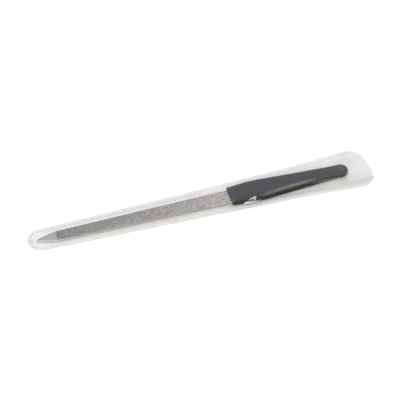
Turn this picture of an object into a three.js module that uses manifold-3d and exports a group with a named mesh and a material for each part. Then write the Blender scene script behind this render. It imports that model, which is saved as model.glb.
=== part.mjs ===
// A sapphire nail file lying in its clear vinyl sleeve.
// Millimetres, +Z up. X runs along the file, from the closed end of the sleeve to its mouth.
// The origin is under the middle of the sleeve, on the surface that the sleeve rests on.

import * as THREE from "three";
import { mergeVertices } from "three/addons/utils/BufferGeometryUtils.js";
import Module from "manifold-3d";

const wasm = await Module();
wasm.setup();

// Blade, a stamped steel strip
const bladeLength = 111; // from the point to the handle
const bladeRootWidth = 9.8;
const bladeTipWidth = 7.5; // where the bare point starts
const bladeThickness = 0.8;
const bladeBevel = 0.12;
const pointLength = 11.5;
const pointBulge = 0.25; // how far the sides of the point curve out from straight
const pointRadius = 0.35;

// Tang, the end of the strip inside the handle
const tangLength = 44;
const tangRootWidth = 5.6;
const tangEndWidth = 4.2;
const barbCount = 3;
const barbLength = 3;
const barbDepth = 0.4;
const tangClearance = 0.2;
const shoulderGap = 0.1;

// Grit coats on both faces of the blade
const gritThickness = 0.15;
const gritMargin = 0.15; // bare steel along each edge
const gritStop = 1.6; // bare steel in front of the handle
const bondLine = 0.02;

// Handle, one moulding
const handleLength = 70;
const handleFrontWidth = 12.3;
const handleFrontThickness = 4.4;
const handleBellyAt = 14.5; // from the front to the widest place
const handleBellyWidth = 15.2;
const handleBellyThickness = 4.7;
const handleBellyBlend = 6;
const handleThinAt = 46; // from the front to where it starts to thin
const handleThinWidth = 9.9;
const handleThinThickness = 5.1;
const handleEndWidth = 8.5;
const handleEndThickness = 3.4;
const handleEndRadius = 3.5;
const chamferWidth = 1.8;
const chamferHeight = 1.2;
const edgeRounding = 0.5;

// Sleeve, two films welded round three sides
const filmThickness = 0.25;
const filmEase = 0.4; // room between the films and the file
const filmRounding = 1;
const seatGap = 0.15; // between the file and the film that it lies on
const weldWidth = 2;
const weldGap = 0.02;
const tipRimLift = 0.65; // how far the weld is off the table at the closed end
const bellyRimLift = 1.85; // beside the handle
const mouthRimLift = 2.75;
const tipRoom = 2.4; // beside the blade, at the base of the point
const bellyRoom = 2.1; // beside the handle, at its widest
const pointRoom = 4.7; // from the closed end to the point
const mouthRoom = 14.4; // from the handle to the mouth
const mouthFlare = 3.3;
const mouthCornerRadius = 11;
const mouthSetback = 3; // the upper film ends short of the lower one
const flareLength = 52;
const flareAngle = THREE.MathUtils.degToRad(4);
const tentLength = 14; // the upper film's rise from the blade to the handle

const gritFace = bladeThickness / 2 + bondLine + gritThickness;
const tipX = -bladeLength;
const pointBaseX = tipX + pointLength;
const frontAt = pointRoom + bladeLength;
const bellyAt = frontAt + handleBellyAt;
const sleeveLength = frontAt + handleLength + mouthRoom;
const sleeveTipRadius = bladeTipWidth / 2 + tipRoom + weldWidth;
const sleeveBellyHalf = handleBellyWidth / 2 + bellyRoom + weldWidth;
const sleeveTaper = (sleeveBellyHalf - sleeveTipRadius) / (bellyAt - sleeveTipRadius);
const sleeveMouthHalf = sleeveBellyHalf + mouthFlare;
const cornerAt = sleeveLength - mouthCornerRadius;
const blankHalf = sleeveMouthHalf + 4;
const handleRoundAt = handleLength - handleEndRadius;

function toSolid(geometry) {
  const bare = new THREE.BufferGeometry();
  bare.setAttribute("position", geometry.getAttribute("position"));
  bare.setIndex(geometry.getIndex());
  const welded = mergeVertices(bare, 1e-4);
  return new wasm.Manifold(new wasm.Mesh({
    numProp: 3,
    vertProperties: new Float32Array(welded.getAttribute("position").array),
    triVerts: new Uint32Array(welded.getIndex().array),
  }));
}

function toGeometry(solid) {
  const mesh = solid.getMesh();
  const geometry = new THREE.BufferGeometry();
  geometry.setAttribute("position", new THREE.BufferAttribute(new Float32Array(mesh.vertProperties), 3));
  geometry.setIndex(new THREE.BufferAttribute(new Uint32Array(mesh.triVerts), 1));
  geometry.computeVertexNormals();
  return geometry;
}

// Skins equal closed sections that follow each other along X, each with its points anticlockwise seen from +X
function loft(sections) {
  const count = sections[0].length;
  const index = [];
  for (let i = 0; i + 1 < sections.length; i += 1) {
    for (let j = 0; j < count; j += 1) {
      const a = i * count + j;
      const b = i * count + ((j + 1) % count);
      index.push(a, b, a + count);
      index.push(b, b + count, a + count);
    }
  }
  const last = (sections.length - 1) * count;
  const flat = (section) => section.map((p) => new THREE.Vector2(p.y, p.z));
  for (const [a, b, c] of THREE.ShapeUtils.triangulateShape(flat(sections[0]), [])) {
    index.push(a, c, b);
  }
  for (const [a, b, c] of THREE.ShapeUtils.triangulateShape(flat(sections.at(-1)), [])) {
    index.push(last + a, last + b, last + c);
  }
  const geometry = new THREE.BufferGeometry().setFromPoints(sections.flat());
  geometry.setIndex(index);
  geometry.computeVertexNormals();
  return geometry;
}

// Closes one side of a symmetric outline with its mirror image across the X axis
function mirrored(side) {
  const other = side.filter((p) => p.y > 1e-6).map((p) => new THREE.Vector2(p.x, -p.y));
  return new THREE.Shape([...side, ...other.reverse()]);
}

function between(points, x) {
  const next = Math.max(1, points.findIndex((p) => p.x >= x));
  const before = points[next - 1];
  const after = points[next];
  return THREE.MathUtils.mapLinear(x, before.x, after.x, before.y, after.y);
}

function bladeHalfAt(x) {
  return THREE.MathUtils.mapLinear(x, pointBaseX, 0, bladeTipWidth / 2, bladeRootWidth / 2);
}

function tangHalfAt(x) {
  return THREE.MathUtils.mapLinear(x, 0, tangLength, tangRootWidth / 2, tangEndWidth / 2);
}

function blade() {
  const side = new THREE.Path();
  const base = new THREE.Vector2(pointBaseX, bladeTipWidth / 2);
  const nose = new THREE.Vector2(tipX + pointRadius * 0.7, pointRadius * 0.95);
  const chord = base.clone().sub(nose);
  const bow = new THREE.Vector2(-chord.y, chord.x).setLength(2 * pointBulge);
  const middle = nose.clone().add(base).multiplyScalar(0.5).add(bow);
  side.moveTo(tipX, 0);
  side.quadraticCurveTo(tipX, nose.y * 0.7, nose.x, nose.y);
  side.quadraticCurveTo(middle.x, middle.y, base.x, base.y);
  side.lineTo(-shoulderGap, bladeHalfAt(-shoulderGap));
  side.lineTo(-shoulderGap, tangHalfAt(0));
  for (let i = 1; i <= barbCount; i += 1) {
    const x = (tangLength * i) / (barbCount + 1);
    side.lineTo(x, tangHalfAt(x));
    side.lineTo(x, tangHalfAt(x) + barbDepth);
    side.lineTo(x + barbLength, tangHalfAt(x + barbLength));
  }
  side.lineTo(tangLength, tangHalfAt(tangLength));
  const geometry = new THREE.ExtrudeGeometry(mirrored(side.getPoints(6)), {
    depth: bladeThickness - 2 * bladeBevel,
    bevelThickness: bladeBevel,
    bevelSize: bladeBevel,
    bevelOffset: -bladeBevel,
    bevelSegments: 1,
  });
  return geometry.translate(0, 0, bladeBevel - bladeThickness / 2);
}

function gritCoat() {
  const edge = gritMargin + bladeBevel;
  const side = [
    new THREE.Vector2(pointBaseX, bladeHalfAt(pointBaseX) - edge),
    new THREE.Vector2(-gritStop, bladeHalfAt(-gritStop) - edge),
  ];
  const settings = { depth: gritThickness, bevelEnabled: false };
  return new THREE.ExtrudeGeometry(mirrored(side), settings);
}

// Half sizes along the handle, straight from a softened belly to where it thins, then curving down to the end
function handleSide(front, belly, thin, end) {
  const ahead = handleBellyAt - handleBellyBlend;
  const behind = handleBellyAt + handleBellyBlend;
  const slope = (thin - belly) / (handleThinAt - handleBellyAt);
  const halfway = (handleThinAt + handleRoundAt) / 2;
  const path = new THREE.Path();
  path.moveTo(edgeRounding, front);
  path.lineTo(ahead, THREE.MathUtils.mapLinear(ahead, 0, handleBellyAt, front, belly));
  path.quadraticCurveTo(handleBellyAt, belly, behind, belly + slope * handleBellyBlend);
  path.lineTo(handleThinAt, thin);
  path.quadraticCurveTo(halfway, thin + slope * (halfway - handleThinAt), handleRoundAt, end);
  return path.getPoints(6);
}

function handleSection(x, half, rise) {
  const inY = half - Math.min(chamferWidth, half / 2);
  const inZ = rise - Math.min(chamferHeight, rise / 2);
  const corners = [[half, -inZ], [half, inZ], [inY, rise], [-inY, rise]];
  const others = corners.map(([y, z]) => [-y, -z]);
  return [...corners, ...others].map(([y, z]) => new THREE.Vector3(x, y, z));
}

function tangSlot() {
  const reach = barbDepth + tangClearance;
  const depth = tangLength + tangClearance;
  const side = [
    new THREE.Vector2(-1, tangHalfAt(0) + reach),
    new THREE.Vector2(0, tangHalfAt(0) + reach),
    new THREE.Vector2(depth, tangHalfAt(depth) + reach),
  ];
  const height = bladeThickness + 2 * tangClearance;
  const geometry = new THREE.ExtrudeGeometry(mirrored(side), { depth: height, bevelEnabled: false });
  return geometry.translate(0, 0, -height / 2);
}

function handle() {
  const widths = handleSide(
    handleFrontWidth / 2, handleBellyWidth / 2, handleThinWidth / 2, handleEndWidth / 2,
  );
  const rises = handleSide(
    handleFrontThickness / 2, handleBellyThickness / 2, handleThinThickness / 2, handleEndThickness / 2,
  );
  const sections = [
    handleSection(0, widths[0].y - edgeRounding, rises[0].y - edgeRounding),
    handleSection(edgeRounding * 0.3, widths[0].y - edgeRounding * 0.3, rises[0].y - edgeRounding * 0.3),
  ];
  widths.forEach((p, i) => sections.push(handleSection(p.x, p.y, rises[i].y)));
  const turns = 6;
  for (let i = 1; i <= turns; i += 1) {
    const angle = (i / turns) * (Math.PI / 2);
    const drop = 1 - Math.cos(angle);
    sections.push(handleSection(
      handleRoundAt + handleEndRadius * Math.sin(angle),
      handleEndWidth / 2 - handleEndRadius * drop,
      handleEndThickness / 2 - edgeRounding * drop,
    ));
  }
  return toGeometry(toSolid(loft(sections)).subtract(toSolid(tangSlot())));
}

// The file lies on the lowest places either side of its balance point, so its point dips a little
function restingPose() {
  const low = [
    new THREE.Vector2(tipX, -bladeThickness / 2),
    new THREE.Vector2(pointBaseX, -gritFace),
    new THREE.Vector2(0, -handleFrontThickness / 2),
    new THREE.Vector2(handleBellyAt, -handleBellyThickness / 2),
    new THREE.Vector2(handleThinAt, -handleThinThickness / 2),
    new THREE.Vector2(handleLength, -handleEndThickness / 2),
  ];
  const balance = -bladeLength / 4;
  for (const a of low.filter((p) => p.x < balance)) {
    for (const b of low.filter((p) => p.x > balance)) {
      const slope = (b.y - a.y) / (b.x - a.x);
      if (low.every((p) => p.y > a.y + slope * (p.x - a.x) - 1e-6)) {
        const tilt = Math.atan(slope);
        const height = filmThickness + seatGap - (a.y - slope * a.x) * Math.cos(tilt);
        return { tilt, height };
      }
    }
  }
  throw new Error("the file has nowhere to rest");
}

const rest = restingPose();

function placed(x, z) {
  return {
    x: frontAt + x * Math.cos(rest.tilt) + z * Math.sin(rest.tilt),
    z: rest.height - x * Math.sin(rest.tilt) + z * Math.cos(rest.tilt),
  };
}

// The die line of the sleeve, or a line drawn inside it
function sleeveOutline(inset) {
  const flareAt = sleeveLength - flareLength;
  const flareHalf = sleeveTipRadius + sleeveTaper * (flareAt - sleeveTipRadius) - inset;
  const corner = mouthCornerRadius - inset;
  const cornerY = sleeveMouthHalf - mouthCornerRadius;
  const turnX = cornerAt - corner * Math.sin(flareAngle);
  const turnY = cornerY + corner * Math.cos(flareAngle);
  const reach = (turnX - flareAt) / 3;
  const side = new THREE.Path();
  side.moveTo(inset, 0);
  side.absarc(sleeveTipRadius, 0, sleeveTipRadius - inset, Math.PI, Math.PI / 2, true);
  side.lineTo(flareAt, flareHalf);
  side.bezierCurveTo(
    flareAt + reach, flareHalf + reach * sleeveTaper,
    turnX - reach, turnY - reach * Math.tan(flareAngle),
    turnX, turnY,
  );
  side.absarc(cornerAt, cornerY, corner, Math.PI / 2 + flareAngle, 0, true);
  return side.getPoints(8);
}

// What the films have to pass over at stations along the sleeve, each carried on to the mouth so the file slides out
function filmRibs() {
  const point = placed(tipX, bladeThickness / 2);
  const base = placed(pointBaseX, gritFace);
  const foot = placed(-tentLength, gritFace);
  const front = placed(0, handleFrontThickness / 2);
  const belly = placed(handleBellyAt, handleBellyThickness / 2);
  const thin = placed(handleThinAt, handleThinThickness / 2);
  const end = placed(handleLength, handleEndThickness / 2);
  const frontHalf = Math.max(handleFrontWidth / 2 - chamferWidth, bladeRootWidth / 2);
  const bellyHalf = handleBellyWidth / 2 - chamferWidth;
  const crest = Math.max(front.z, belly.z, thin.z, end.z);
  const ribs = [
    { x: weldWidth, roof: 0, half: 0, floor: tipRimLift },
    { x: point.x - filmEase, roof: point.z + filmEase, half: pointRadius + filmEase },
    { x: base.x - filmEase, roof: base.z + filmEase, half: bladeTipWidth / 2 + filmEase },
    { x: foot.x - filmEase, roof: foot.z + filmEase, half: bladeHalfAt(-tentLength) + filmEase },
    { x: front.x - filmEase, roof: front.z + filmEase, half: frontHalf + filmEase },
    { x: belly.x - filmEase, roof: Math.max(front.z, belly.z) + filmEase, half: bellyHalf + filmEase },
    { x: thin.x - filmEase, roof: crest + filmEase, half: bellyHalf + filmEase },
    { x: sleeveLength + 1, roof: crest + filmEase, half: bellyHalf + filmEase },
  ];
  const rims = [
    { x: weldWidth, y: filmThickness + tipRimLift },
    { x: belly.x, y: filmThickness + bellyRimLift },
    { x: sleeveLength + 1, y: filmThickness + mouthRimLift },
  ];
  return ribs.map((rib) => ({ floor: 0, ...rib, rim: between(rims, rib.x) }));
}

function ribAt(ribs, x) {
  const along = (key) => between(ribs.map((rib) => ({ x: rib.x, y: rib[key] })), x);
  return { roof: along("roof"), half: along("half"), floor: along("floor"), rim: along("rim") };
}

function filmStations(ribs, weldLine) {
  const arc = weldLine.filter((p) => p.x > weldWidth && p.x < cornerAt).map((p) => p.x);
  const all = [...arc, ...ribs.map((rib) => rib.x)].sort((a, b) => a - b);
  return all.filter((x, i) => i === 0 || x - all[i - 1] > 0.2);
}

// Rounds the corners of a line of [across, height] points, three points to a corner
function softened(line) {
  const points = line.map(([y, z]) => new THREE.Vector2(y, z));
  const out = [points[0]];
  for (let i = 1; i + 1 < points.length; i += 1) {
    const back = points[i - 1].clone().sub(points[i]);
    const on = points[i + 1].clone().sub(points[i]);
    const cut = Math.min(filmRounding, back.length() * 0.45, on.length() * 0.45);
    const start = points[i].clone().add(back.setLength(cut));
    const stop = points[i].clone().add(on.setLength(cut));
    const middle = start.clone().add(stop).multiplyScalar(0.25).addScaledVector(points[i], 0.5);
    out.push(start, middle, stop);
  }
  out.push(points.at(-1));
  return out;
}

// One film across the sleeve, as thick as the film, from the underside line of its right half
function filmSection(x, line) {
  const right = softened(line);
  const left = right.slice(1).reverse().map((p) => new THREE.Vector2(-p.x, p.y));
  const under = [...left, ...right].map((p) => new THREE.Vector3(x, p.x, p.y));
  const over = under.map((p) => new THREE.Vector3(x, p.y, p.z + filmThickness));
  return [...under, ...over.reverse()];
}

function filmBlank(stations, lineAt) {
  const first = filmSection(-1, lineAt(stations[0]));
  return loft([first, ...stations.map((x) => filmSection(x, lineAt(x)))]);
}

function dieCut(blank) {
  const high = 60;
  const outline = mirrored(sleeveOutline(0));
  const die = new THREE.ExtrudeGeometry(outline, { depth: high, bevelEnabled: false });
  die.translate(0, 0, -high / 2);
  return toGeometry(toSolid(blank).intersect(toSolid(die)));
}

function weldHalfAt(weldLine, x) {
  const inside = Math.min(Math.max(x, weldWidth), cornerAt - 0.5);
  return Math.max(between(weldLine, inside), 0.3);
}

function upperFilm(ribs, weldLine) {
  const mouthAt = sleeveLength - mouthSetback;
  const stations = filmStations(ribs, weldLine).filter((x) => x < mouthAt - 0.2);
  return dieCut(filmBlank([...stations, mouthAt], (x) => {
    const { roof, half, rim } = ribAt(ribs, x);
    const weld = weldHalfAt(weldLine, x);
    const seam = rim + weldGap;
    const flat = Math.max(Math.min(half, weld * 0.6), 0.1);
    return [[0, Math.max(roof, seam)], [flat, Math.max(roof, seam)], [weld, seam], [blankHalf, seam]];
  }));
}

function lowerFilm(ribs, weldLine) {
  return dieCut(filmBlank(filmStations(ribs, weldLine), (x) => {
    const { half, floor, rim } = ribAt(ribs, x);
    const weld = weldHalfAt(weldLine, x);
    const flat = Math.max(Math.min(half, weld * 0.6), 0.1);
    const under = rim - filmThickness;
    return [[0, floor], [flat, floor], [weld, under], [blankHalf, under]];
  }));
}

function node(name, geometry, color, settings = {}) {
  const mesh = new THREE.Mesh(geometry, new THREE.MeshStandardMaterial({ color, ...settings }));
  mesh.name = name;
  return mesh;
}

function sleeve() {
  const group = new THREE.Group();
  const ribs = filmRibs();
  const weldLine = sleeveOutline(weldWidth);
  const clear = { roughness: 0.15, transparent: true, opacity: 0.3 };
  group.name = "sleeve";
  group.position.set(-sleeveLength / 2, 0, 0);
  group.add(node("sleeve_upper_film", upperFilm(ribs, weldLine), 0xeef0f2, clear));
  group.add(node("sleeve_lower_film", lowerFilm(ribs, weldLine), 0xe6e8ea, clear));
  return group;
}

function file() {
  const group = new THREE.Group();
  const steel = { metalness: 1, roughness: 0.3 };
  const grit = { metalness: 0.2, roughness: 0.9 };
  const upper = node("grit_coat_upper", gritCoat(), 0x969393, grit);
  const lower = node("grit_coat_lower", gritCoat(), 0x8b8888, grit);
  group.name = "file";
  group.position.set(frontAt - sleeveLength / 2, 0, rest.height);
  group.rotation.y = rest.tilt;
  upper.position.z = bladeThickness / 2 + bondLine;
  lower.position.z = -gritFace;
  group.add(node("blade", blade(), 0xc8cad2, steel));
  group.add(upper, lower);
  group.add(node("handle", handle(), 0x2a292c, { roughness: 0.45 }));
  return group;
}

const nailFile = new THREE.Group();
nailFile.name = "nail_file_in_sleeve";
nailFile.add(sleeve(), file());

export default nailFile;
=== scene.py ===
import math
from functools import lru_cache

import bmesh
import bpy
from mathutils import Matrix, Vector, noise


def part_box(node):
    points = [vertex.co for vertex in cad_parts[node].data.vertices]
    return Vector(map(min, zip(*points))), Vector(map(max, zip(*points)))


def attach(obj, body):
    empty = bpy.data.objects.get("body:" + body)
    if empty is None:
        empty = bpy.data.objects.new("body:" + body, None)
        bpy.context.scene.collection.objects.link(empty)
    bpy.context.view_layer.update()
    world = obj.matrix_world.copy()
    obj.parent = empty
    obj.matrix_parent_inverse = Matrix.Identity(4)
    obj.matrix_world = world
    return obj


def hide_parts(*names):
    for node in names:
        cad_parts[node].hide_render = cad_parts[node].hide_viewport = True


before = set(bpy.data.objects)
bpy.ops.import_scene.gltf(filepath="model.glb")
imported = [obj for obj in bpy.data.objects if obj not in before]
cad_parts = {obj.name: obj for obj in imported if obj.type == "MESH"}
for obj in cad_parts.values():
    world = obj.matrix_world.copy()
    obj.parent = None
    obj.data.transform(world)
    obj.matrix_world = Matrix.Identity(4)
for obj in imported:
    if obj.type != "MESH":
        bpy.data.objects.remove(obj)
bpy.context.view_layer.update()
mm = 0.001
print("frame loaded:", ", ".join(sorted(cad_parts)))


# Shader maths: a socket that can be added, multiplied and so on
class Link:
    def __init__(self, socket):
        self.socket = socket

    def maths(self, operation, first, second):
        return addNode(self.socket.id_data, "Math", {"operation": operation}, {0: first, 1: second})

    def __add__(self, other):
        return self.maths("ADD", self, other)

    def __radd__(self, other):
        return self.maths("ADD", other, self)

    def __sub__(self, other):
        return self.maths("SUBTRACT", self, other)

    def __rsub__(self, other):
        return self.maths("SUBTRACT", other, self)

    def __mul__(self, other):
        return self.maths("MULTIPLY", self, other)

    def __rmul__(self, other):
        return self.maths("MULTIPLY", other, self)

    def __pow__(self, other):
        return self.maths("POWER", self, other)


def addNode(tree, kind, settings, inputs, output=0):
    node = tree.nodes.new("ShaderNode" + kind)
    for name, value in settings.items():
        if name == "stops":
            ramp = node.color_ramp.elements
            while len(ramp) < len(value):
                ramp.new(0.5)
            for stop, (place, colour) in zip(ramp, value):
                stop.position = place
                stop.color = (*colour, 1)
        else:
            setattr(node, name, value)
    for name, value in inputs.items():
        if isinstance(value, Link):
            tree.links.new(value.socket, node.inputs[name])
        else:
            node.inputs[name].default_value = value
    return Link(node.outputs[output])


def newMaterial(name):
    material = bpy.data.materials.new(name)
    material.use_nodes = True
    material.node_tree.nodes.clear()
    return material, material.node_tree


def showSurface(tree, shader):
    show = tree.nodes.new("ShaderNodeOutputMaterial")
    tree.links.new(shader.socket, show.inputs["Surface"])


def mixColours(tree, share, first, second):
    # a Mix node has its colours in sockets 6 and 7, and gives its colour from socket 2
    return addNode(tree, "Mix", {"data_type": "RGBA"}, {"Factor": share, 6: first, 7: second}, 2)


def pieceValue(tree, name):
    return addNode(tree, "Attribute", {"attribute_name": name}, {}, "Fac")


def grey(level):
    return (level, level, level, 1)


# Mesh helpers
runOn = 9  # millimetres that the lines of the handle and of the films' section go on past their ends


def clamp(value):
    return max(0, min(1, value))


def smoothStep(t):
    return t * t * (3 - 2 * t)


def quarterTurn(i, steps):
    return i / steps * math.pi / 2


def softLine(points, x, reach):
    # value at x of the line through the points, with its corners rounded over reach either side
    steps = 8
    total = 0
    for i in range(steps + 1):
        at = x + reach * (2 * i / steps - 1)
        share = 0.5 if i in (0, steps) else 1
        total += share * lineAt(points, at)
    return total / steps


def lineAt(points, x):
    for (x0, y0), (x1, y1) in zip(points, points[1:]):
        if x <= x1 or (x1, y1) == points[-1]:
            return y0 + (y1 - y0) * (x - x0) / (x1 - x0)


def startRow(bm, columns):
    # a closed ring of edges, whose vertices carry their columns' numbers
    column = bm.verts.layers.float.new("column")
    verts = [bm.verts.new() for c in columns]
    for vert, c in zip(verts, columns):
        vert[column] = c
    return [bm.edges.new(pair) for pair in zip(verts, verts[1:] + verts[:1])]


def sweep(bm, edges, stations, spot):
    # extrudes a row of edges from station to station, and lays each vertex of a row where spot says
    column = bm.verts.layers.float["column"]
    station = bm.verts.layers.float.new("station")
    row = {vert for edge in edges for vert in edge.verts}
    for number, at in enumerate(stations):
        if number:
            grown = bmesh.ops.extrude_edge_only(bm, edges=edges)["geom"]
            row = {item for item in grown if isinstance(item, bmesh.types.BMVert)}
            edges = [
                item for item in grown
                if isinstance(item, bmesh.types.BMEdge) and all(vert in row for vert in item.verts)
            ]
        for vert in row:
            vert.co = spot(at, vert[column])
            vert[station] = at
    return edges


def newPiece(name, bm, place, body, slot, *nodes):
    bmesh.ops.transform(bm, matrix=place @ Matrix.Scale(mm, 4), verts=bm.verts)
    mesh = bpy.data.meshes.new(name)
    bm.to_mesh(mesh)
    bm.free()
    mesh.shade_smooth()
    piece = bpy.data.objects.new(name, mesh)
    bpy.context.scene.collection.objects.link(piece)
    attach(piece, body)
    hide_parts(*nodes)
    print("made", name, len(mesh.vertices), "vertices")
    return piece


# Where the file lies: its own x runs from the front of the handle, and its z from the middle of the blade
lie = {
    "gritThickness": 0.15,
    "gritStop": 1.6,  # bare steel in front of the handle
}
gritLow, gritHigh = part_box("grit_coat_upper")
underLow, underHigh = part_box("grit_coat_lower")
gritMiddle = (gritLow + gritHigh + underLow + underHigh) / 4
gritRise = gritHigh.z - gritLow.z - lie["gritThickness"] * mm
gritRun = gritHigh.x - gritLow.x
gritLength = math.hypot(gritRise, gritRun) / mm
fileTilt = -math.atan(gritRise / gritRun)
gritCentre = -lie["gritStop"] - gritLength / 2
filePlace = (
    Matrix.Translation(gritMiddle)
    @ Matrix.Rotation(fileTilt, 4, "Y")
    @ Matrix.Translation((-gritCentre * mm, 0, 0))
)
sleeveLow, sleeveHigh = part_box("sleeve_lower_film")
sleevePlace = Matrix.Translation((sleeveLow.x, 0, 0))
sleeveLength = (sleeveHigh.x - sleeveLow.x) / mm


def onFile(x, z):
    # a spot on the file in the sleeve's own millimetres: along from its closed end, and up
    spot = filePlace @ Vector((x * mm, 0, z * mm))
    return (spot.x - sleeveLow.x) / mm, spot.z / mm


# Blade
blade = {
    "length": 111,
    "rootWidth": 9.8,
    "tipWidth": 7.5,
    "thickness": 0.8,
    "edgeBevel": 0.12,
    "pointLength": 11.5,
    "pointBulge": 0.25,
    "pointRadius": 0.35,
    "pointSteps": 24,
    "pointCrowding": 1.5,  # draws the rows of the point towards its tip
    "pointRoom": 0.4,  # taken off the length that the rows of the point spread over
    "noseHalf": 0.105,
    "noseLength": 0.14,
    "shoulderGap": 0.1,
    "tangLength": 44,
    "tangRootWidth": 5.6,
    "tangEndWidth": 4.2,
    "barbs": 3,
    "barbLength": 3,
    "barbDepth": 0.4,
    "paintedGlintLength": 14,  # how far before the handle the sheared edge gets a painted highlight
    "paintedGlintFade": 3,
    "sharpAngle": 25,
}
pointBase = blade["pointLength"] - blade["length"]


def bladeHalf(x):
    share = (x - pointBase) / -pointBase
    return (blade["tipWidth"] + (blade["rootWidth"] - blade["tipWidth"]) * share) / 2


def tangHalf(x):
    share = x / blade["tangLength"]
    return (blade["tangRootWidth"] + (blade["tangEndWidth"] - blade["tangRootWidth"]) * share) / 2


def bladeStations():
    tip = -blade["length"]
    run = blade["pointLength"] - blade["pointRoom"]
    stations = [(tip, blade["noseHalf"])]
    for i in range(blade["pointSteps"]):
        share = (i / blade["pointSteps"]) ** blade["pointCrowding"]
        chord = blade["pointRadius"] + (blade["tipWidth"] / 2 - blade["pointRadius"]) * share
        bow = 4 * blade["pointBulge"] * share * (1 - share)
        stations.append((tip + blade["noseLength"] + run * share, chord + bow))
    # the painted highlight on the sheared edge is full from here to the handle
    fullGlintAt = blade["paintedGlintFade"] - blade["paintedGlintLength"]
    stations += [(x, bladeHalf(x)) for x in (pointBase, pointBase / 2, -blade["paintedGlintLength"], fullGlintAt)]
    shoulder = -blade["shoulderGap"]
    stations += [(shoulder, bladeHalf(shoulder)), (shoulder, tangHalf(0))]
    for i in range(blade["barbs"]):
        x = blade["tangLength"] * (i + 1) / (blade["barbs"] + 1)
        back = x + blade["barbLength"]
        stations += [(x, tangHalf(x)), (x, tangHalf(x) + blade["barbDepth"]), (back, tangHalf(back))]
    stations.append((blade["tangLength"], tangHalf(blade["tangLength"])))
    return stations


def makeBlade():
    halves = bladeStations()
    rise = blade["thickness"] / 2

    def spot(number, column):
        x, half = halves[int(number)]
        cut = min(blade["edgeBevel"], half / 2)
        corners = [(half, rise - cut), (half - cut, rise), (cut - half, rise), (-half, rise - cut)]
        corners += [(-y, -z) for y, z in corners]
        return Vector((x, *corners[int(column)]))

    bm = bmesh.new()
    first = startRow(bm, range(8))  # eight corners round the section
    last = sweep(bm, first, range(len(halves)), spot)
    bmesh.ops.contextual_create(bm, geom=first)
    bmesh.ops.contextual_create(bm, geom=last)
    bmesh.ops.recalc_face_normals(bm, faces=bm.faces)
    sheared = bm.verts.layers.float.new("sheared")
    # painted highlight: the sheared edge near the handle is painted a lighter, warmer colour, standing in
    # for the light it catches there
    bright = bm.verts.layers.float.new("bright")
    for vert in bm.verts:
        vert[sheared] = 0 if abs(vert.co.z) > rise - blade["edgeBevel"] / 2 else 1
        vert[bright] = clamp((vert.co.x + blade["paintedGlintLength"]) / blade["paintedGlintFade"])
    piece = newPiece("bladeSteel", bm, filePlace, "file", "steel", "blade")
    piece.data.set_sharp_from_angle(angle=math.radians(blade["sharpAngle"]))
    return piece


# Grit coats
grit = {
    "grain": 0.3,
    "relief": 0.05,
    "bondLine": 0.02,
    "margin": 0.15,
    "stray": 0.12,  # how far noise moves a point of the grid along and across
    "strayScale": 3.7,
    "seed": 7,
}


def makeGrit(name, node, side):
    noise.seed_set(grit["seed"])
    half = bladeHalf(-lie["gritStop"]) - grit["margin"] - blade["edgeBevel"]
    face = blade["thickness"] / 2 + grit["bondLine"]
    bm = bmesh.new()
    bmesh.ops.create_grid(
        bm,
        x_segments=round(gritLength / grit["grain"]),
        y_segments=round(2 * half / grit["grain"]),
        size=0.5,
    )
    bmesh.ops.scale(bm, vec=(gritLength, 1, 1), verts=bm.verts)
    bmesh.ops.translate(bm, vec=(gritCentre, 0, face + lie["gritThickness"]), verts=bm.verts)
    rim = [edge for edge in bm.edges if edge.is_boundary]
    rimVerts = {vert for edge in rim for vert in edge.verts}
    for vert in bm.verts:
        width = 2 * (bladeHalf(vert.co.x) - grit["margin"] - blade["edgeBevel"])
        vert.co.y *= width
        jitter = noise.noise_vector(vert.co * grit["strayScale"])
        if vert not in rimVerts:
            vert.co.x += jitter.x * grit["stray"]
            vert.co.y += jitter.y * grit["stray"]
            vert.co.z += jitter.z * grit["relief"]
        else:
            vert.co.z -= grit["relief"] * (1 + jitter.z)
    skirt = bmesh.ops.extrude_edge_only(bm, edges=rim)["geom"]
    foot = [item for item in skirt if isinstance(item, bmesh.types.BMVert)]
    for vert in foot:
        vert.co.z = face
    footEdges = [
        item for item in skirt
        if isinstance(item, bmesh.types.BMEdge) and all(vert in foot for vert in item.verts)
    ]
    bmesh.ops.contextual_create(bm, geom=footEdges)
    if side < 0:
        bmesh.ops.rotate(bm, matrix=Matrix.Rotation(math.pi, 3, "X"), verts=bm.verts)
    bmesh.ops.recalc_face_normals(bm, faces=bm.faces)
    return newPiece(name, bm, filePlace, "file", "grit", node)


# Handle
handle = {
    "length": 70,
    "frontWidth": 12.3,
    "frontThickness": 4.4,
    "bellyAt": 14.5,
    "bellyWidth": 15.2,
    "bellyThickness": 4.7,
    "bellyBlend": 6,
    "thinAt": 46,
    "thinWidth": 9.9,
    "thinThickness": 5.1,
    "endWidth": 8.5,
    "endThickness": 3.4,
    "endRadius": 3.5,
    "endCrown": 0.16,  # how much of the round end's turn shows in its height
    "chamferWidth": 1.8,
    "chamferHeight": 1.2,
    "underChamfer": 0.75,  # height of the chamfer below, which leaves a taller side
    "edgeRadius": 0.11,  # no more than the narrow end has room for
    "partingLine": 0.05,
    "slotDepth": 3,
    "slotGap": 0.2,
    "rubbed": ((0, 0.35), (11, 0.35), (15, 1), (40, 1), (51, 0)),  # shine of the chamfers along x
    "worn": ((0, 1), (11, 1), (15, 0)),  # painted sheen: lighter grey painted on the chamfers near the front along x, standing in for the light they catch
    "chamferLean": (0.7, 0.9),  # how far up a chamfer's face looks, least and most
    "chamferTurn": 0.4,  # and how far to the side, at least
    "rimTurn": 1,  # edges of the front that turn more than this many radians are rounded
    "sharpAngle": 40,
}
roundAt = handle["length"] - handle["endRadius"]


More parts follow.
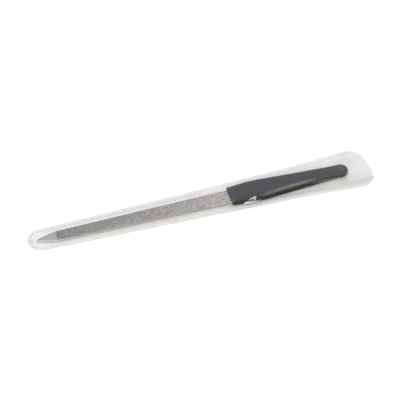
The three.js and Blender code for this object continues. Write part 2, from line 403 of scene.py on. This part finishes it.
def handleSide(front, belly, thin, end):
    # straight from the belly to where it thins, then curving on to the end
    start = handle["thinAt"]
    run = roundAt - start
    slope = (thin - belly) / (start - handle["bellyAt"])
    steps = 4
    tail = []
    for i in range(1, steps + 1):
        t = i / steps
        tail.append((start + run * t, thin + slope * run * t * (1 - t) + (end - thin) * t * t))
    return [(0, front), (handle["bellyAt"], belly), (start, thin), *tail, (handle["length"] + runOn, end)]


def handleHalves(x):
    widths = handleSide(handle["frontWidth"], handle["bellyWidth"], handle["thinWidth"], handle["endWidth"])
    rises = handleSide(
        handle["frontThickness"], handle["bellyThickness"], handle["thinThickness"], handle["endThickness"]
    )
    half = softLine(widths, x, handle["bellyBlend"]) / 2
    rise = softLine(rises, x, handle["bellyBlend"]) / 2
    if x > roundAt:
        drop = handle["endRadius"] - math.sqrt(max(0, handle["endRadius"] ** 2 - (x - roundAt) ** 2))
        half -= drop
        rise -= drop * handle["endCrown"]
    return half, rise


def allRound(over, under):
    # a whole ring from its corners on one side, above and below
    ring = over + [(-y, z) for y, z in reversed(over[1:])]
    return ring + [(-y, -z) for y, z in under] + [(y, -z) for y, z in reversed(under[1:])]


def handleSpot(x, column):
    half, rise = handleHalves(x)
    inY = half - min(handle["chamferWidth"], half / 2)
    inZ = rise - min(handle["chamferHeight"], rise / 2)
    underZ = rise - min(handle["underChamfer"], rise / 2)
    seam = handle["partingLine"]
    over = [(half + seam, 0), (half, seam * 2), (half, inZ), (inY, rise)]
    under = [(half + seam, 0), (half, seam * 2), (half, underZ), (inY, rise)]
    return Vector((x, *allRound(over, under)[int(column)]))


def handleStations():
    steps = 40
    turns = 10
    along = [roundAt * i / steps for i in range(steps + 1)]
    turn = [roundAt + handle["endRadius"] * math.sin(quarterTurn(i, turns)) for i in range(1, turns + 1)]
    return along + turn


def makeHandle():
    bm = bmesh.new()
    first = startRow(bm, range(14))  # fourteen corners round the section
    last = sweep(bm, first, handleStations(), handleSpot)
    front = bmesh.ops.contextual_create(bm, geom=first)["faces"]
    bmesh.ops.contextual_create(bm, geom=last)
    bmesh.ops.recalc_face_normals(bm, faces=bm.faces)
    # the slot that the tang goes into
    bmesh.ops.inset_region(bm, faces=front, thickness=handle["slotGap"], use_even_offset=True)
    slotHalf = blade["tangRootWidth"] / 2 + blade["barbDepth"] + handle["slotGap"]
    slotRise = blade["thickness"] / 2 + handle["slotGap"]
    column = bm.verts.layers.float["column"]
    upright = [(slotHalf, slotRise * i / 3) for i in range(4)]
    slotRim = allRound(upright, upright)
    for vert in front[0].verts:
        vert.co = Vector((0, *slotRim[int(vert[column])]))
    sunk = bmesh.ops.extrude_face_region(bm, geom=front)["geom"]
    bmesh.ops.delete(bm, geom=front, context="FACES_ONLY")
    floorVerts = [item for item in sunk if isinstance(item, bmesh.types.BMVert)]
    bmesh.ops.translate(bm, vec=(handle["slotDepth"], 0, 0), verts=floorVerts)
    station = bm.verts.layers.float["station"]
    hair = 0.01  # allowance for rounding
    halfRing = 7
    chamferColumns = (2, 3, 4, 5)  # in each half of the ring
    longEdges = []
    frontRim = []
    for edge in bm.edges:
        a, b = edge.verts
        level = max(abs(a.co.z), abs(b.co.z)) < slotRise + hair
        if level and max(a.co.x, b.co.x) < handle["slotDepth"] + hair:
            continue
        if a[column] == b[column]:
            if a[column] % halfRing in chamferColumns and a[station] != b[station]:
                longEdges.append(edge)
        elif a[station] == b[station] == 0 and edge.calc_face_angle(0) > handle["rimTurn"]:
            frontRim.append(edge)
    bmesh.ops.bevel(
        bm, geom=longEdges + frontRim, offset=handle["edgeRadius"], segments=3, profile=0.5, affect="EDGES",
        material=-1, clamp_overlap=True,
    )
    bmesh.ops.recalc_face_normals(bm, faces=bm.faces)
    polish = bm.verts.layers.float.new("polish")
    # painted sheen: marks the chamfers near the front, where a lighter grey is painted in place of the
    # light they catch
    worn = bm.verts.layers.float.new("worn")
    least, most = handle["chamferLean"]
    for face in bm.faces:
        if least < abs(face.normal.z) < most and abs(face.normal.y) > handle["chamferTurn"]:
            for vert in face.verts:
                vert[polish] = clamp(lineAt(handle["rubbed"], vert.co.x))
                vert[worn] = clamp(lineAt(handle["worn"], vert.co.x))
    piece = newPiece("handleGrip", bm, filePlace, "file", "handle_plastic", "handle")
    piece.data.set_sharp_from_angle(angle=math.radians(handle["sharpAngle"]))
    return piece


# Sleeve
sleeve = {
    "film": 0.25,
    "ease": 0.4,  # room between the films and the file
    "weldWidth": 2,
    "weldGap": 0.02,
    "rimLifts": (0.65, 1.85, 2.75),  # closed end, beside the handle, mouth
    "tipRoom": 2.4,
    "bellyRoom": 2.1,
    "mouthFlare": 3.29,
    "cornerRadius": 11,
    "setback": 3,
    "flareLength": 52,
    "flareAngle": math.radians(4),
    "tentLength": 14,
    "softAlong": 3,
    "softAcross": 0.6,
    "softShare": 0.4,  # of the weld's half width, where that is narrow
    "cornerClear": 0.5,  # the weld's inner line runs straight on from this far before the mouth's corners
    "leastWeld": 0.3,
    "leastFlat": 0.1,
    "flatShare": 0.6,  # most of the width between the welds that lies flat on the file
    "bead": 0.08,
    "beadColumn": 1.12,
    "beadWidth": 0.12,  # in columns
    "beadFades": (0.3, 3),  # at the tip, and before the mouth's corners
    "creaseHeight": 0.4,
    "creaseRise": 0.125,  # share of a wrinkle's length that it rises over
    "creases": [  # from, to, width and strength, on the file's own x and y
        ((13.3, -7), (8.2, -7.75), 0.65, 1),
        ((13, -7.2), (11.6, -8.7), 0.55, 0.9),
        ((5.5, -8.6), (16, -9.1), 0.9, 0.95),
    ],
    "mergeWithin": 0.01,
    "sharpAngle": 50,
}
tipRadius = blade["tipWidth"] / 2 + sleeve["tipRoom"] + sleeve["weldWidth"]
bellyHalf = handle["bellyWidth"] / 2 + sleeve["bellyRoom"] + sleeve["weldWidth"]
mouthHalf = bellyHalf + sleeve["mouthFlare"]
frontAlong = onFile(0, 0)[0]
bellyAlong = onFile(handle["bellyAt"], 0)[0]
sleeveTaper = (bellyHalf - tipRadius) / (bellyAlong - tipRadius)
cornerAt = sleeveLength - sleeve["cornerRadius"]
pastMouth = sleeveLength + 1  # where the lines along the sleeve end


def outlineHalf(along, inset):
    # half width of the die line, or of a line drawn inside it
    radius = tipRadius - inset
    if along < tipRadius:
        return math.sqrt(max(0, radius ** 2 - (tipRadius - along) ** 2))
    corner = sleeve["cornerRadius"] - inset
    cornerY = mouthHalf - sleeve["cornerRadius"]
    turnX = cornerAt - corner * math.sin(sleeve["flareAngle"])
    if along > turnX:
        return cornerY + math.sqrt(max(0, corner ** 2 - (along - cornerAt) ** 2))
    flareAt = sleeveLength - sleeve["flareLength"]
    flareHalf = tipRadius + sleeveTaper * (flareAt - tipRadius) - inset
    if along < flareAt:
        return tipRadius - inset + sleeveTaper * (along - tipRadius)
    turnY = cornerY + corner * math.cos(sleeve["flareAngle"])
    t = (along - flareAt) / (turnX - flareAt)
    reach = (turnX - flareAt) / 3
    first = flareHalf + reach * sleeveTaper
    second = turnY - reach * math.tan(sleeve["flareAngle"])
    s = 1 - t
    return s ** 3 * flareHalf + 3 * s * s * t * first + 3 * s * t * t * second + t ** 3 * turnY


def weldHalf(along):
    return outlineHalf(min(along, cornerAt - sleeve["cornerClear"]), sleeve["weldWidth"])


def rimAt(along):
    tip, belly, mouth = sleeve["rimLifts"]
    points = [(0, tip), (bellyAlong, belly), (pastMouth, mouth)]
    return sleeve["film"] + softLine(points, along, sleeve["softAlong"])


def roofLine():
    gritFace = blade["thickness"] / 2 + grit["bondLine"] + lie["gritThickness"]
    spots = [
        onFile(-blade["length"], blade["thickness"] / 2),
        onFile(pointBase, gritFace),
        onFile(-sleeve["tentLength"], gritFace),
        onFile(0, handle["frontThickness"] / 2),
        onFile(handle["bellyAt"], handle["bellyThickness"] / 2),
        onFile(handle["thinAt"], handle["thinThickness"] / 2),
    ]
    line = [(along - sleeve["ease"], height + sleeve["ease"]) for along, height in spots]
    return [(sleeve["weldWidth"], rimAt(sleeve["weldWidth"])), *line, (pastMouth, line[-1][1])]


def flatLine():
    frontHalf = max(handle["frontWidth"] / 2 - handle["chamferWidth"], blade["rootWidth"] / 2)
    topHalf = handle["bellyWidth"] / 2 - handle["chamferWidth"]
    spots = [
        (-blade["length"], blade["pointRadius"]),
        (pointBase, blade["tipWidth"] / 2),
        (-sleeve["tentLength"], bladeHalf(-sleeve["tentLength"])),
        (0, frontHalf),
        (handle["bellyAt"], topHalf),
    ]
    line = [(onFile(x, 0)[0] - sleeve["ease"], half + sleeve["ease"]) for x, half in spots]
    return [(sleeve["weldWidth"], sleeve["leastFlat"]), *line, (pastMouth, line[-1][1])]


roofPoints = roofLine()
flatPoints = flatLine()


# Rows and columns of the films
rows = {
    "tipTurns": 20,
    "cornerTurns": 16,
    "step": 1.5,
    "fineStep": 0.28,  # round the wrinkles
    "fineCount": 95,
    "fineBefore": 5,  # the fine rows start this far before the handle
    "closest": 0.02,
    "edge": (0.5, 0.25, 0),  # the last rows, from the cut edge
    "edgeClear": 0.6,
    "middleColumns": 10,
    "slopeColumns": 20,
    "weldColumns": [1.06, 1.12, 1.18, 1.25, 1.5, 1.65, 1.75, 1.85, 1.94, 2],
}
overTop = 10  # added to the columns of a film's upper face


def filmStations(end):
    tipTurns = rows["tipTurns"]
    cornerTurns = rows["cornerTurns"]
    step = rows["step"]
    radius = sleeve["cornerRadius"]
    tip = [tipRadius * (1 - math.cos(quarterTurn(i, tipTurns))) for i in range(tipTurns)]
    body = [tipRadius + i * step for i in range(int((end - tipRadius) / step))]
    fine = [frontAlong - rows["fineBefore"] + i * rows["fineStep"] for i in range(rows["fineCount"])]
    turn = [cornerAt + radius * math.sin(quarterTurn(i, cornerTurns)) for i in range(cornerTurns + 1)]
    found = sorted(tip + [x for x in body if not fine[0] < x < fine[-1]] + fine + turn)
    last = end - rows["edgeClear"]
    kept = [x for x, after in zip(found, found[1:]) if x < last and after - x > rows["closest"]]
    return kept + [end - back for back in rows["edge"]]


def filmColumns():
    # up to 1 inside the weld and from 1 to 2 across it, first the underside, then back over the top
    middle = [i / rows["middleColumns"] / 2 for i in range(rows["middleColumns"])]
    slope = [(1 + i / rows["slopeColumns"]) / 2 for i in range(rows["slopeColumns"] + 1)]
    right = middle + slope + rows["weldColumns"]
    under = [-c for c in reversed(right[1:])] + right
    return under + [c + overTop for c in reversed(under)]


def splitColumn(column):
    over = column > overTop / 2
    return (column - overTop, sleeve["film"]) if over else (column, 0)


@lru_cache(maxsize=None)
def sectionAt(along):
    # the films' cross-section: the weld's inner and outer half width, the flat's, and the heights
    inner = weldHalf(along)
    weld = max(inner, sleeve["leastWeld"])
    rim = rimAt(along)
    roof = max(softLine(roofPoints, along, sleeve["softAlong"]), rim + sleeve["weldGap"])
    flat = min(softLine(flatPoints, along, sleeve["softAlong"]), weld * sleeve["flatShare"])
    flat = max(flat, sleeve["leastFlat"])
    return inner, outlineHalf(along, 0), weld, flat, rim, roof


def filmY(along, column):
    inner, edge = sectionAt(along)[:2]
    size = abs(column)
    y = inner * size if size <= 1 else inner + (edge - inner) * (size - 1)
    return math.copysign(min(y, edge), column)


def filmRise(y, weld, flat, low, high):
    left = [(-weld - runOn, low), (-weld, low), (-flat, high)]
    right = [(flat, high), (weld, low), (weld + runOn, low)]
    return softLine(left + right, y, min(sleeve["softAcross"], weld * sleeve["softShare"]))


def floorAt(along):
    # the lower film's middle lies on the table, and turns up to the weld at the closed end
    point = onFile(-blade["length"], 0)[0] - sleeve["ease"]
    t = clamp((point - along) / (point - sleeve["weldWidth"]))
    return smoothStep(t) * (rimAt(along) - sleeve["film"])


def creaseAt(along, y):
    # wrinkles where the film is pulled round the near shoulder of the handle
    spot = Vector((along - frontAlong, y))
    most = 0
    for start, stop, width, strength in sleeve["creases"]:
        run = Vector(stop) - Vector(start)
        here = spot - Vector(start)
        share = clamp(here.dot(run) / run.length_squared)
        near = clamp(1 - (here - run * share).length / width)
        fade = min(1, share / sleeve["creaseRise"]) * math.sqrt(1 - share)
        most = max(most, strength * smoothStep(near) * fade)
    return most


def beadAt(along, column):
    # the weld's raised line, which runs out at the very tip and before the mouth's corners
    tipFade, cornerFade = sleeve["beadFades"]
    fade = clamp(min(along / tipFade, (cornerAt - along) / cornerFade))
    return fade * max(0, 1 - abs(abs(column) - sleeve["beadColumn"]) / sleeve["beadWidth"])


def upperSpot(along, column):
    column, lift = splitColumn(column)
    y = filmY(along, column)
    weld, flat, rim, roof = sectionAt(along)[2:]
    z = filmRise(y, weld, flat, rim + sleeve["weldGap"], roof) + lift
    z += sleeve["creaseHeight"] * creaseAt(along, y)
    if lift:
        z += sleeve["bead"] * beadAt(along, column)
    return Vector((along, y, z))


def lowerSpot(along, column):
    column, lift = splitColumn(column)
    y = filmY(along, column)
    weld, flat, rim = sectionAt(along)[2:5]
    z = filmRise(y, weld, flat, rim - sleeve["film"], floorAt(along)) + lift
    if not lift:
        z -= sleeve["bead"] * beadAt(along, column)
    return Vector((along, y, z))


# Haze of the films
milky = {
    "overWeld": 0.1,
    "onLines": 0.9,
    "beadMost": 0.6,
    "beadReach": 0.3,  # in columns
    "sideFrom": 1.6,  # the column that the cut side's line starts from
    "sideReach": 0.3,
    "mouthCut": 0.6,  # reach of the cut edge's line at the mouth
    "tipCut": 1.2,  # and at the closed end
    "tipWeld": 0.8,  # either side of the weld's inner line there
    "mouthMost": 0.24,
    "mouthReach": 20,
}


def filmHaze(along, column, end):
    # how milky the film is: most on the lines of the weld and along its cut edges, some at the mouth
    size = abs(splitColumn(column)[0])
    weldWidth = sleeve["weldWidth"]
    toMouth = end - along
    welded = 1 if size > 1 or along < weldWidth else 0
    lines = [
        milky["beadMost"] - abs(size - sleeve["beadColumn"]) / milky["beadReach"],
        (size - milky["sideFrom"]) / milky["sideReach"],
        1 - toMouth / milky["mouthCut"],
        1 - abs(along - weldWidth) / milky["tipWeld"] if size < 1 else 0,
        1 - along / milky["tipCut"],
        min(milky["mouthMost"], 1 - toMouth / milky["mouthReach"]),
    ]
    return milky["overWeld"] * welded + milky["onLines"] * clamp(max(lines))


def makeFilm(name, node, end, spot):
    bm = bmesh.new()
    first = startRow(bm, filmColumns())
    last = sweep(bm, first, filmStations(end), spot)
    bmesh.ops.contextual_create(bm, geom=last)
    haze = bm.verts.layers.float.new("haze")
    # painted glint: the wrinkles' mask, where the film is painted white to stand in for the light the
    # wrinkles catch
    crease = bm.verts.layers.float.new("crease")
    column = bm.verts.layers.float["column"]
    station = bm.verts.layers.float["station"]
    for vert in bm.verts:
        vert[haze] = filmHaze(vert[station], vert[column], end)
        vert[crease] = creaseAt(vert[station], vert.co.y) if spot is upperSpot else 0
    bmesh.ops.remove_doubles(bm, verts=bm.verts, dist=sleeve["mergeWithin"])
    bmesh.ops.recalc_face_normals(bm, faces=bm.faces)
    piece = newPiece(name, bm, sleevePlace, "sleeve", "clear_film", node)
    piece.data.set_sharp_from_angle(angle=math.radians(sleeve["sharpAngle"]))
    return piece


# Finishes
def objectCoords(tree):
    return addNode(tree, "TexCoord", {}, {}, "Object")


steelLook = {
    "face": (0.39, 0.384, 0.37, 1),
    "edge": (0.42, 0.412, 0.4, 1),
    # painted highlight: the lighter colour painted on the sheared edge near the handle
    "paintedEdgeGlintColour": (0.68, 0.655, 0.6, 1),
    "brushing": (120, 4200, 4200),  # scale of the brushed lines, along the blade and across it
    "edgeDull": 0.8,  # how much less metallic the sheared edge is
    "roughness": (0.2, 0.12, 0.3),  # of the face, and what the lines and the edge add
}


def steelFinish():
    material, tree = newMaterial("polishedSteel")
    coords = objectCoords(tree)
    stretched = addNode(tree, "Mapping", {}, {"Vector": coords, "Scale": steelLook["brushing"]})
    lines = addNode(tree, "TexNoise", {}, {"Vector": stretched, "Scale": 1, "Detail": 3})
    bump = addNode(tree, "Bump", {}, {"Strength": 0.12, "Distance": 0.00002, "Height": lines}, "Normal")
    sheared = pieceValue(tree, "sheared")
    # near the handle the edge's colour turns to the painted highlight
    edge = mixColours(tree, pieceValue(tree, "bright"), steelLook["edge"], steelLook["paintedEdgeGlintColour"])
    smooth, fromLines, fromEdge = steelLook["roughness"]
    shader = addNode(tree, "BsdfPrincipled", {}, {
        "Base Color": mixColours(tree, sheared, steelLook["face"], edge),
        "Metallic": 1 - sheared * steelLook["edgeDull"],
        "Roughness": smooth + lines * fromLines + sheared * fromEdge,
        "Normal": bump,
    })
    showSurface(tree, shader)
    return material


gritLook = {
    "grains": 3000,  # scale of the single grains
    "clumps": 700,
    "stops": [
        (0, (0.12, 0.117, 0.118)),
        (0.6, (0.305, 0.294, 0.28)),
        (1, (0.605, 0.588, 0.56)),
    ],
    "fromGrains": 0.45,  # what each adds to the place in the stops
    "fromClumps": 0.9,
    "paintedLightAlong": 4.3,  # per metre towards the handle, where the grit is painted lighter: a painted gradient of light
    "base": 0.035,
    "metallic": 0.25,
    "roughness": (0.75, 0.4),  # of the dullest grain, and how much the brightest takes off
}


def gritFinish():
    material, tree = newMaterial("corundumGrit")
    coords = objectCoords(tree)
    cells = {"Vector": coords, "Scale": gritLook["grains"]}
    tone = addNode(tree, "TexVoronoi", {}, cells, "Color")
    relief = addNode(tree, "TexVoronoi", {}, cells, "Distance")
    fleck = addNode(tree, "SeparateColor", {}, {"Color": tone}, "Red")
    clump = addNode(tree, "TexNoise", {}, {"Vector": coords, "Scale": gritLook["clumps"], "Detail": 2})
    along = addNode(tree, "SeparateXYZ", {}, {"Vector": coords}, "X")
    speckle = fleck * gritLook["fromGrains"] + clump * gritLook["fromClumps"]
    # painted light: the grit's tone rises towards the handle
    speckle = speckle + along * gritLook["paintedLightAlong"] + gritLook["base"]
    colour = addNode(tree, "ValToRGB", {"stops": gritLook["stops"]}, {"Fac": speckle}, "Color")
    dull, shine = gritLook["roughness"]
    bump = addNode(tree, "Bump", {}, {"Strength": 0.5, "Distance": 0.0001, "Height": 1 - relief}, "Normal")
    shader = addNode(tree, "BsdfPrincipled", {}, {
        "Base Color": colour,
        "Metallic": gritLook["metallic"],
        "Roughness": dull - fleck * shine,
        "Normal": bump,
    })
    showSurface(tree, shader)
    return material


handleLook = {
    "grain": 3800,  # scale of the moulded grain
    "cloud": 160,  # scale of the slow change in tone
    "stops": [
        (0.3, (0.007, 0.0066, 0.0085)),
        (0.7, (0.012, 0.0115, 0.0145)),
    ],
    # painted sheen: the lighter grey painted on the front chamfers
    "worn": (0.045, 0.044, 0.047, 1),
    "roughness": (0.2, 0.1),  # least, and what the cloud adds
    "polish": 0.9,
}


def handleFinish():
    material, tree = newMaterial("satinPlastic")
    coords = objectCoords(tree)
    grain = addNode(tree, "TexNoise", {}, {"Vector": coords, "Scale": handleLook["grain"], "Detail": 2})
    cloud = addNode(tree, "TexNoise", {}, {"Vector": coords, "Scale": handleLook["cloud"], "Detail": 3})
    plainTone = addNode(tree, "ValToRGB", {"stops": handleLook["stops"]}, {"Fac": cloud}, "Color")
    bump = addNode(tree, "Bump", {}, {"Strength": 0.08, "Distance": 0.00003, "Height": grain}, "Normal")
    smooth, fromCloud = handleLook["roughness"]
    shader = addNode(tree, "BsdfPrincipled", {}, {
        # the chamfers near the front get the lighter grey of the painted sheen
        "Base Color": mixColours(tree, pieceValue(tree, "worn"), plainTone, handleLook["worn"]),
        "Roughness": smooth + cloud * fromCloud,
        "Specular IOR Level": 0.28,
        "Coat Weight": pieceValue(tree, "polish") * handleLook["polish"],
        "Coat Roughness": 0.2,
        "Coat IOR": 1.8,
        "Normal": bump,
    })
    showSurface(tree, shader)
    return material


filmLook = {
    "clear": (0.97, 0.9695, 0.968, 1),
    "milk": (0.5, 0.5, 0.51, 1),
    # painted glint: the white painted on the wrinkles
    "wrinkle": (0.95, 0.95, 0.95, 1),
    "ripples": 130,  # scale of the faint waves in the gloss
    "milkShare": (0.006, 0.19, 0.8),  # everywhere, and what haze and the painted glint on the wrinkles add
    "mirror": 0.04,  # share of light that the film mirrors when looked at squarely
}


def filmFinish():
    material, tree = newMaterial("clearVinyl")
    coords = objectCoords(tree)
    wave = addNode(tree, "TexNoise", {}, {"Vector": coords, "Scale": filmLook["ripples"], "Detail": 2})
    bump = addNode(tree, "Bump", {}, {"Strength": 0.08, "Distance": 0.0004, "Height": wave}, "Normal")
    facing = addNode(tree, "LayerWeight", {}, {"Blend": 0.5}, "Facing")
    outside = 1 - addNode(tree, "NewGeometry", {}, {}, "Backfacing")
    square = filmLook["mirror"]
    mirror = outside * (square + (1 - square) * facing ** 5)
    # painted glint: white milk painted where the wrinkles lie
    crease = pieceValue(tree, "crease")
    least, fromHaze, fromPaintedGlint = filmLook["milkShare"]
    milkShare = outside * (least + pieceValue(tree, "haze") * fromHaze + crease * fromPaintedGlint)
    clear = addNode(tree, "BsdfTransparent", {}, {"Color": filmLook["clear"]})
    milk = addNode(tree, "BsdfPrincipled", {}, {
        "Base Color": mixColours(tree, crease, filmLook["milk"], filmLook["wrinkle"]),
        "Roughness": 0.4,
        "Specular IOR Level": 0,
    })
    gloss = addNode(tree, "BsdfAnisotropic", {}, {"Color": grey(1), "Roughness": 0.09, "Normal": bump})
    body = addNode(tree, "MixShader", {}, {0: milkShare, 1: clear, 2: milk})
    shader = addNode(tree, "MixShader", {}, {0: mirror, 1: body, 2: gloss})
    showSurface(tree, shader)
    return material


def dress(piece, material):
    piece.data.materials.clear()
    piece.data.materials.append(material)


steel = steelFinish()
corundum = gritFinish()
plastic = handleFinish()
vinyl = filmFinish()
dress(makeBlade(), steel)
dress(makeGrit("gritUpper", "grit_coat_upper", 1), corundum)
dress(makeGrit("gritLower", "grit_coat_lower", -1), corundum)
dress(makeHandle(), plastic)
dress(makeFilm("filmUpper", "sleeve_upper_film", sleeveLength - sleeve["setback"], upperSpot), vinyl)
dress(makeFilm("filmLower", "sleeve_lower_film", sleeveLength, lowerSpot), vinyl)
print("finishes on")


# Studio
studio = {
    "azimuth": -17.7,
    "elevation": 43.4,
    "distance": 1.0,
    "lens": 161,
    "sensor": 36,
    "clipStart": 0.01,
    "target": (-0.00016, 0.00475, 0),
    "floorSize": 40,
    "floorDrop": 0.00005,
    "floorColour": 1,
    "lampFrom": (-0.74, -1.49, 1.73),
    "lampSize": 1.6,
    "lampPower": 58,
    "lampColour": (1, 0.98, 0.94),
    "sky": (0.12, 0.12, 0.12, 1),
    "panels": [  # direction, angle of the bright middle and of the soft edge, colour
        ((-0.1, 0.15, 0.98), 18, 28, (1.2, 1.2, 1.18, 1)),
        ((0.22, 0.69, 0.687), 20, 30, (1.22, 1.21, 1.37, 1)),
        ((0.41, -0.36, 0.84), 8, 12, (2.6, 2.6, 2.3, 1)),
    ],
}


def direction(azimuth, elevation):
    a = math.radians(azimuth)
    e = math.radians(elevation)
    return Vector((math.sin(a) * math.cos(e), -math.cos(a) * math.cos(e), math.sin(e)))


def makeCamera():
    data = bpy.data.cameras.new("camera")
    data.lens = studio["lens"]
    data.sensor_width = studio["sensor"]
    data.clip_start = studio["clipStart"]
    camera = bpy.data.objects.new("camera", data)
    bpy.context.scene.collection.objects.link(camera)
    back = direction(studio["azimuth"], studio["elevation"])
    camera.location = Vector(studio["target"]) + back * studio["distance"]
    camera.rotation_euler = (-back).to_track_quat("-Z", "Y").to_euler()
    bpy.context.scene.camera = camera


def makeFloor():
    bm = bmesh.new()
    bmesh.ops.create_grid(bm, x_segments=1, y_segments=1, size=studio["floorSize"] / 2)
    mesh = bpy.data.meshes.new("floor")
    bm.to_mesh(mesh)
    bm.free()
    floor = bpy.data.objects.new("floor", mesh)
    floor.location.z = -studio["floorDrop"]
    bpy.context.scene.collection.objects.link(floor)
    material, tree = newMaterial("paleFloor")
    showSurface(tree, addNode(tree, "BsdfDiffuse", {}, {"Color": grey(studio["floorColour"])}))
    mesh.materials.append(material)


def makeLamp(name, at, size, power, colour):
    data = bpy.data.lights.new(name, "AREA")
    data.shape = "DISK"
    data.size = size
    data.energy = power
    data.color = colour
    lamp = bpy.data.objects.new(name, data)
    lamp.location = at
    lamp.rotation_euler = (-Vector(at)).to_track_quat("-Z", "Y").to_euler()
    bpy.context.scene.collection.objects.link(lamp)


def makeWorld():
    world = bpy.data.worlds.new("studio")
    bpy.context.scene.world = world
    world.use_nodes = True
    tree = world.node_tree
    tree.nodes.clear()
    look = addNode(tree, "TexCoord", {}, {}, "Generated")
    sky = studio["sky"]
    for toward, inner, outer, colour in studio["panels"]:
        aim = Vector(toward).normalized()
        along = addNode(tree, "VectorMath", {"operation": "DOT_PRODUCT"}, {0: look, 1: aim}, "Value")
        share = addNode(tree, "MapRange", {}, {
            "Value": along,
            "From Min": math.cos(math.radians(outer)),
            "From Max": math.cos(math.radians(inner)),
        })
        sky = mixColours(tree, share, sky, colour)
    light = addNode(tree, "Background", {}, {"Color": sky, "Strength": 1})
    show = tree.nodes.new("ShaderNodeOutputWorld")
    tree.links.new(light.socket, show.inputs["Surface"])


makeCamera()
makeFloor()
makeLamp("softbox", studio["lampFrom"], studio["lampSize"], studio["lampPower"], studio["lampColour"])
makeWorld()
bpy.context.scene.view_settings.view_transform = "Standard"
print("studio ready")
